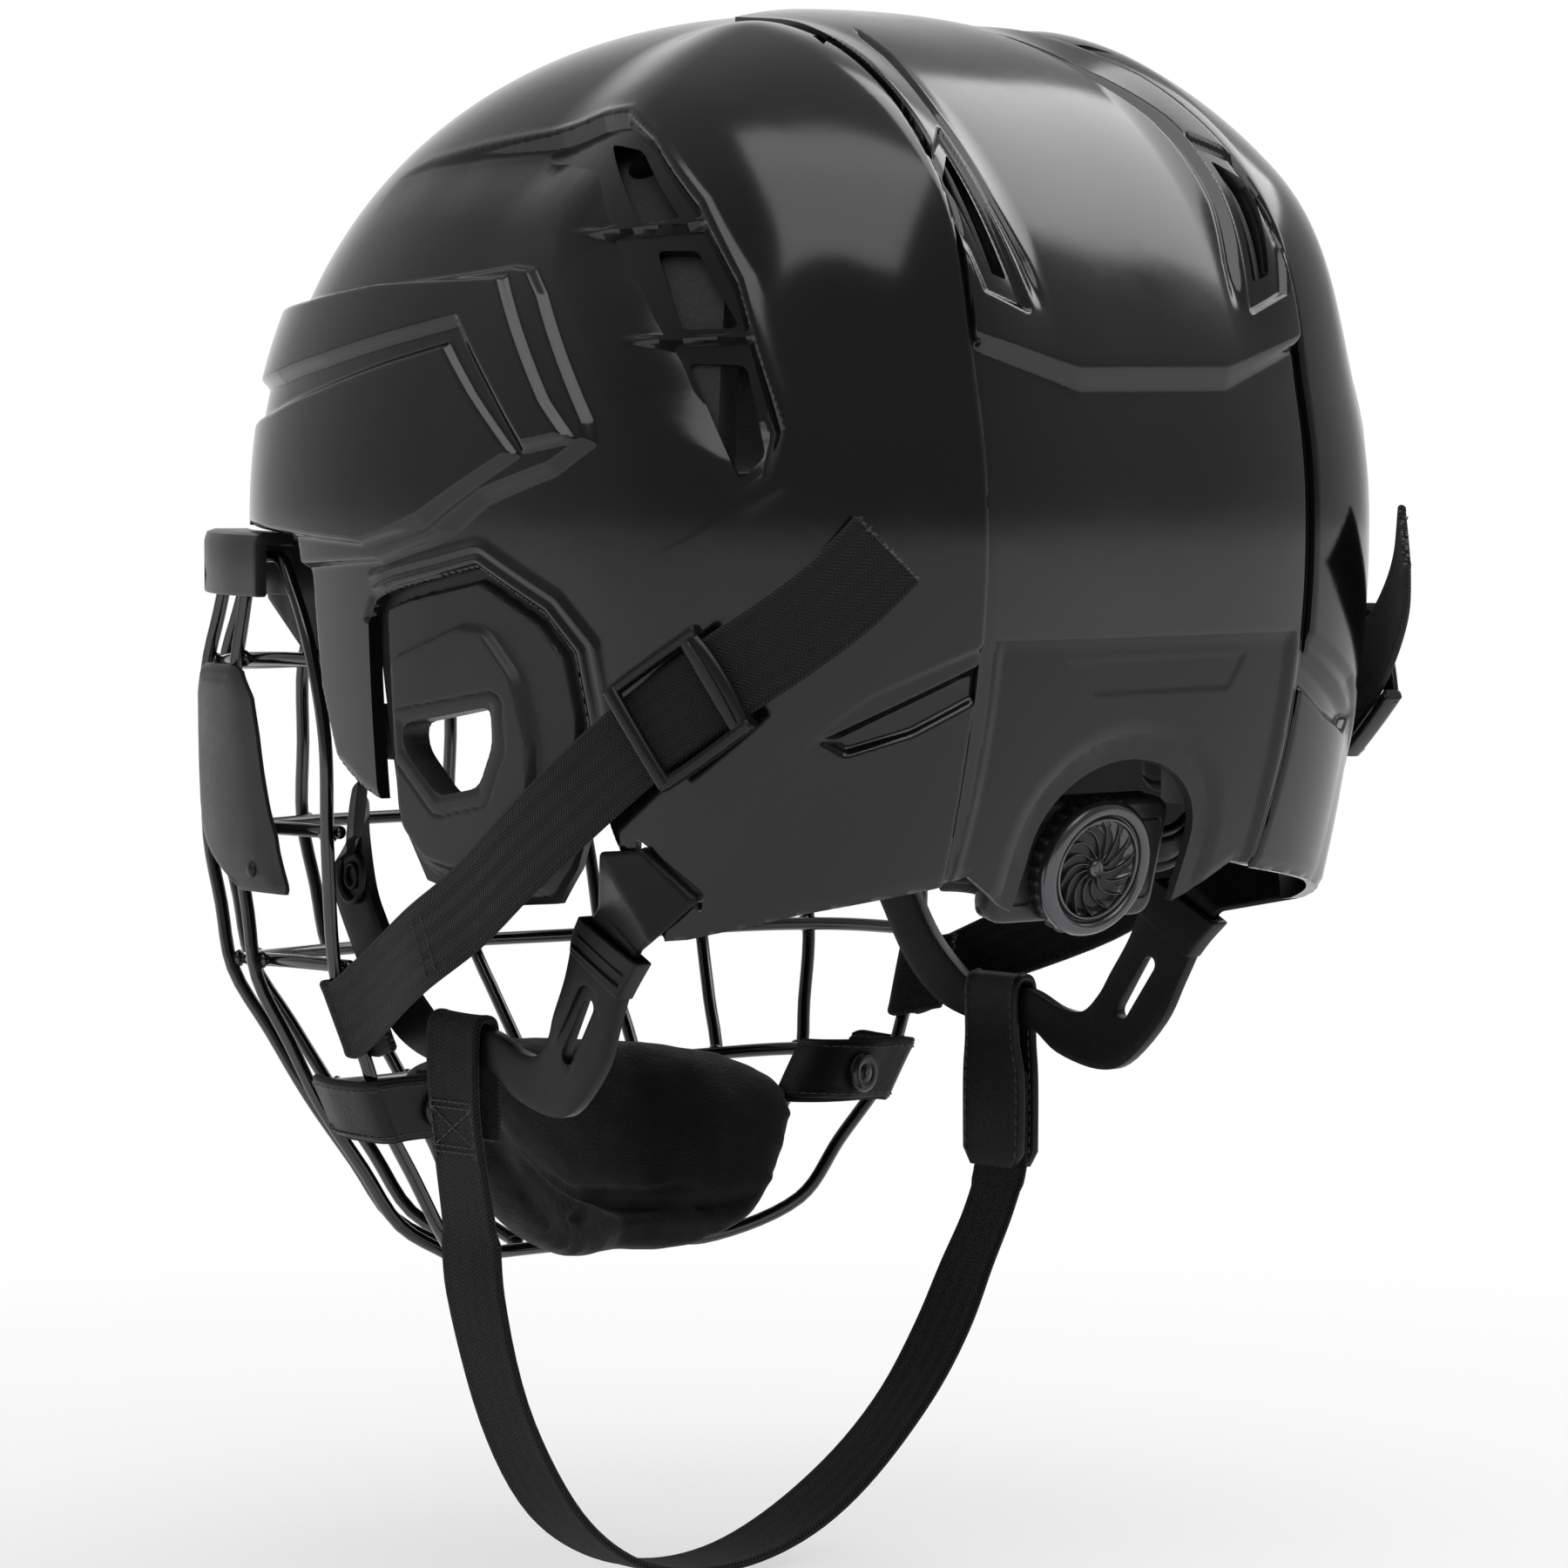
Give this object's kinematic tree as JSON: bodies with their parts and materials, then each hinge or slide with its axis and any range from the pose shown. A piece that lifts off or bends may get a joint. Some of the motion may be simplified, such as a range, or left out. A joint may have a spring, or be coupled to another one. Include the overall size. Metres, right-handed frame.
{
  "type": "hockey helmet with cage",
  "caption": "Vented two-piece ice hockey helmet with hinged wire face cage, padded chin cup, webbing straps, flexible ear harnesses and a rear fit dial.",
  "frame": {"origin": "centre of the head, midway between the ear holes", "axes": "+X to the wearer's left, -Y to the face, +Z to the crown"},
  "size_m": [0.2108, 0.266, 0.3387],
  "materials": {
    "gloss_shell": "high-gloss moulded black",
    "satin_shell": "satin moulded dark grey",
    "foam": "expanded foam, dark grey",
    "comfort_foam": "brushed cloth over soft foam",
    "black_plastic": "satin black moulded",
    "cage_wire": "gloss black coated steel wire",
    "cup_fabric": "soft black knit",
    "webbing": "woven black webbing",
    "tab_leather": "black synthetic leather",
    "flexible_plastic": "flexible black plastic",
    "snap_metal": "black coated steel",
    "dial_plastic": "dark metallic grey"
  },
  "bodies": {
    "helmet": {"front_shell": "gloss_shell", "rear_shell": "satin_shell", "front_liner": "foam", "rear_liner": "foam", "side_liner_left": "foam", "side_liner_right": "foam", "crown_pad": "foam", "brow_pad": "comfort_foam", "temple_pad_left": "comfort_foam", "temple_pad_right": "comfort_foam", "ear_guard_left": "satin_shell", "ear_guard_right": "satin_shell", "cage_clip_left": "black_plastic", "cage_clip_right": "black_plastic", "shell_snap_studs": "snap_metal", "harness_left": "flexible_plastic", "harness_right": "flexible_plastic", "harness_strap_left": "flexible_plastic", "harness_strap_right": "flexible_plastic", "chin_strap": "webbing", "snap_tab": "tab_leather", "snap_button": "snap_metal", "arm_guide_left": "black_plastic", "arm_guide_right": "black_plastic"},
    "cage": {"cage_rim": "cage_wire", "cage_uprights": "cage_wire", "cage_crossbars": "cage_wire", "cage_plate": "black_plastic", "chin_cup": "cup_fabric", "cup_tab_left": "cup_fabric", "cup_tab_right": "cup_fabric", "cup_snaps": "snap_metal", "side_strap_left": "webbing", "side_strap_right": "webbing", "strap_slider_left": "black_plastic", "strap_slider_right": "black_plastic"},
    "yoke": {"yoke_housing": "black_plastic", "yoke_arm_left": "flexible_plastic", "yoke_arm_right": "flexible_plastic", "nape_pad": "comfort_foam"},
    "dial": {"fit_dial": "dial_plastic"}
  },
  "joints": [
    {"name": "cage_swing", "type": "hinge", "parent": "helmet", "child": "cage", "pos_m": [0, -0.1113, 0.038], "axis": [-1, 0, 0], "range_deg": [0, 50]},
    {"name": "yoke_slide", "type": "slide", "parent": "helmet", "child": "yoke", "axis": [0, -1, 0], "range_m": [0, 0.008]},
    {"name": "dial_spin", "type": "hinge", "parent": "yoke", "child": "dial", "pos_m": [0, 0.089, -0.023], "axis": [0, -0.9659, 0.2588], "range_deg": [0, 360]}
  ],
  "couplings": [
    {"joint": "yoke_slide", "follows": "dial_spin", "m_per_rad": 0.0012732}
  ]
}
